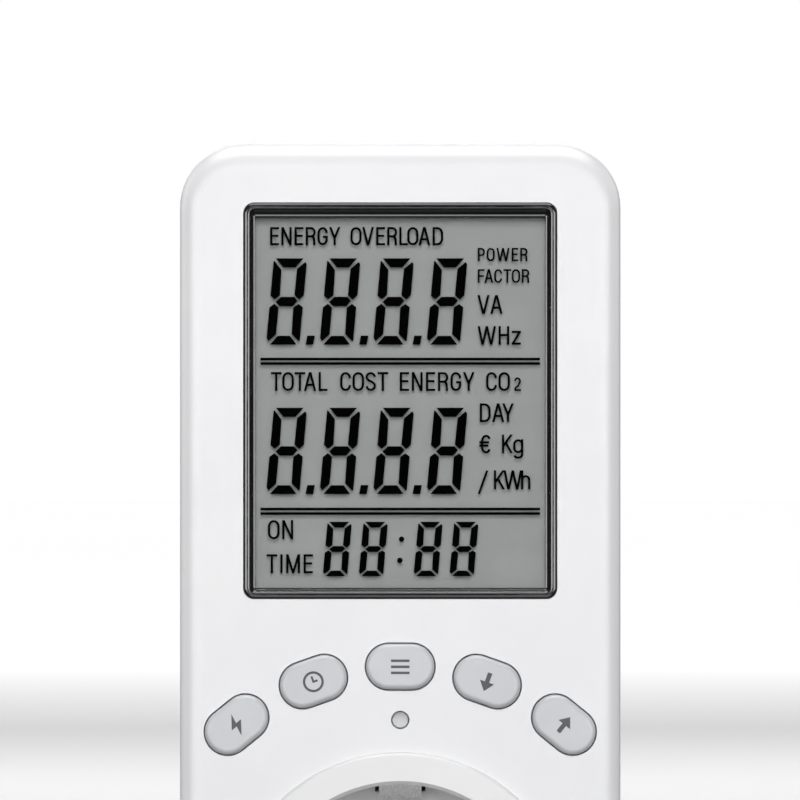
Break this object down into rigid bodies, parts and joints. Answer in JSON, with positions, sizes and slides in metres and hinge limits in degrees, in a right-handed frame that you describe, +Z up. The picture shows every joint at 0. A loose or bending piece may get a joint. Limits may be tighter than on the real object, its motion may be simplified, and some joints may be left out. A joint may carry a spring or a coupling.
{
  "type": "plug in power meter",
  "caption": "Upright white plug-in energy meter: a large grey liquid crystal display above an arc of oval buttons and a round recessed mains socket, with a pinned plug behind.",
  "frame": {"origin": "centre of the plug's flat end face, midway between the two pins, where it meets a wall socket's floor", "axes": "+Y into the wall along the pins, so the display and the socket face -Y; +Z up, from the plug to the display; +X to the right as seen from the front"},
  "size_m": [0.062, 0.08, 0.14],
  "materials": {
    "shell": "fine moulded satin",
    "bezel": "glossy",
    "lens": "clear polished",
    "lcd_glass": "clear polished",
    "lcd_reflector": "grey-green satin film",
    "lcd_pattern": "dark liquid crystal segments",
    "inner_plastic": "plain moulded",
    "zebra_rubber": "soft",
    "circuit_board": "solder-masked laminate",
    "key_plastic": "satin",
    "switch_plastic": "plain moulded",
    "plunger_plastic": "plain moulded",
    "socket_plastic": "satin",
    "shutter_plastic": "plain moulded",
    "carrier_plastic": "glass-filled",
    "spring_steel": "rolled strip",
    "plated_steel": "zinc plated",
    "plated_brass": "nickel plated, turned",
    "brass": "stamped strip",
    "shunt_alloy": "drawn wire",
    "film_capacitor_case": "moulded box",
    "capacitor_sleeve": "shrink sleeve",
    "varistor_coating": "dipped coating",
    "fuse_glass": "capped tube",
    "moulded_black": "moulded epoxy",
    "crystal_can": "drawn can",
    "cell_sleeve": "shrink sleeve",
    "header_gold": "gold plated"
  },
  "bodies": {
    "housing": {"front_shell": "shell", "rear_shell": "shell", "display_bezel": "bezel", "display_lens": "lens", "lcd_front_glass": "lcd_glass", "lcd_rear_glass": "lcd_glass", "lcd_reflector": "lcd_reflector", "lcd_segments": "lcd_pattern", "lcd_carrier": "inner_plastic", "zebra_strip": "zebra_rubber", "display_board": "circuit_board", "power_board": "circuit_board", "switch_bodies": "switch_plastic", "socket_well": "socket_plastic", "socket_floor": "socket_plastic", "plug_base": "socket_plastic", "contact_carrier": "carrier_plastic", "shutter_spring": "spring_steel", "socket_earth_strap": "spring_steel", "plug_earth_strap": "spring_steel", "housing_screws": "plated_steel", "display_board_screws": "plated_steel", "power_board_screws": "plated_steel", "carrier_screws": "plated_steel", "shutter_pivot": "plated_steel", "earth_rivet": "plated_steel", "live_pin": "plated_brass", "neutral_pin": "plated_brass", "earth_sleeve": "plated_brass", "live_contact": "brass", "neutral_contact": "brass", "live_contact_bar": "brass", "live_pin_bar": "brass", "neutral_bar": "brass", "shunt": "shunt_alloy", "film_capacitor": "film_capacitor_case", "smoothing_capacitor": "capacitor_sleeve", "varistor": "varistor_coating", "fuse": "fuse_glass", "rectifier_diodes": "moulded_black", "metering_chip": "moulded_black", "microcontroller": "moulded_black", "header_block": "moulded_black", "crystal": "crystal_can", "backup_cells": "cell_sleeve", "header_pins": "header_gold"},
    "energy_button": {"energy_key": "key_plastic", "energy_plunger": "plunger_plastic"},
    "cost_button": {"cost_key": "key_plastic", "cost_plunger": "plunger_plastic"},
    "function_button": {"function_key": "key_plastic", "function_plunger": "plunger_plastic"},
    "down_button": {"down_key": "key_plastic", "down_plunger": "plunger_plastic"},
    "up_button": {"up_key": "key_plastic", "up_plunger": "plunger_plastic"},
    "reset_button": {"reset_key": "key_plastic", "reset_plunger": "plunger_plastic"},
    "shutter": {"shutter": "shutter_plastic"}
  },
  "joints": [
    {"name": "energy_press", "type": "slide", "parent": "housing", "child": "energy_button", "axis": [0, 1, 0], "range_m": [0, 0.0008], "stiffness_N_per_m": 400, "springref_m": -0.0004},
    {"name": "cost_press", "type": "slide", "parent": "housing", "child": "cost_button", "axis": [0, 1, 0], "range_m": [0, 0.0008], "stiffness_N_per_m": 400, "springref_m": -0.0004},
    {"name": "function_press", "type": "slide", "parent": "housing", "child": "function_button", "axis": [0, 1, 0], "range_m": [0, 0.0008], "stiffness_N_per_m": 400, "springref_m": -0.0004},
    {"name": "down_press", "type": "slide", "parent": "housing", "child": "down_button", "axis": [0, 1, 0], "range_m": [0, 0.0008], "stiffness_N_per_m": 400, "springref_m": -0.0004},
    {"name": "up_press", "type": "slide", "parent": "housing", "child": "up_button", "axis": [0, 1, 0], "range_m": [0, 0.0008], "stiffness_N_per_m": 400, "springref_m": -0.0004},
    {"name": "reset_press", "type": "slide", "parent": "housing", "child": "reset_button", "axis": [0, 1, 0], "range_m": [0, 0.0008], "stiffness_N_per_m": 400, "springref_m": -0.0004},
    {"name": "shutter_turn", "type": "hinge", "parent": "housing", "child": "shutter", "pos_m": [0, -0.03955, 0], "axis": [0, 1, 0], "range_deg": [0, 42], "stiffness_Nm_per_rad": 0.002, "springref_deg": -17.19, "deforming": ["shutter_spring"]}
  ]
}
